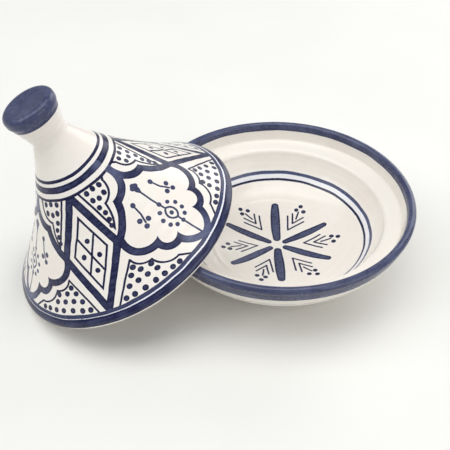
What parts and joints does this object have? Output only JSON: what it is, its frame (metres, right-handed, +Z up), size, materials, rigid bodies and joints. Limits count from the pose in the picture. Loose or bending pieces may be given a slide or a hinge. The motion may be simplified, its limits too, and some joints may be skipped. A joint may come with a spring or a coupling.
{
  "type": "tagine pot",
  "caption": "Glazed earthenware serving pot: a round dish with a rolled rim and lid seat, and a hollow conical lid with a flared knob, leaning on the dish.",
  "frame": {"origin": "centre of the dish's foot ring, on the table", "axes": "+Z up along the dish's axis, -X from the dish towards the leaning lid; the pot is symmetric about the XZ plane"},
  "size_m": [0.3407, 0.23, 0.1836],
  "materials": {
    "dish_glaze": "glossy cream-white glaze, hand-painted in cobalt blue",
    "lid_glaze": "glossy cream-white glaze, hand-painted all over in cobalt blue"
  },
  "bodies": {
    "dish": {"dish": "dish_glaze"},
    "lid": {"lid": "lid_glaze"}
  },
  "joints": [
    {"name": "lid_lift", "type": "slide", "parent": "dish", "child": "lid", "axis": [0, 0, 1], "range_m": [0, 0.14]}
  ]
}
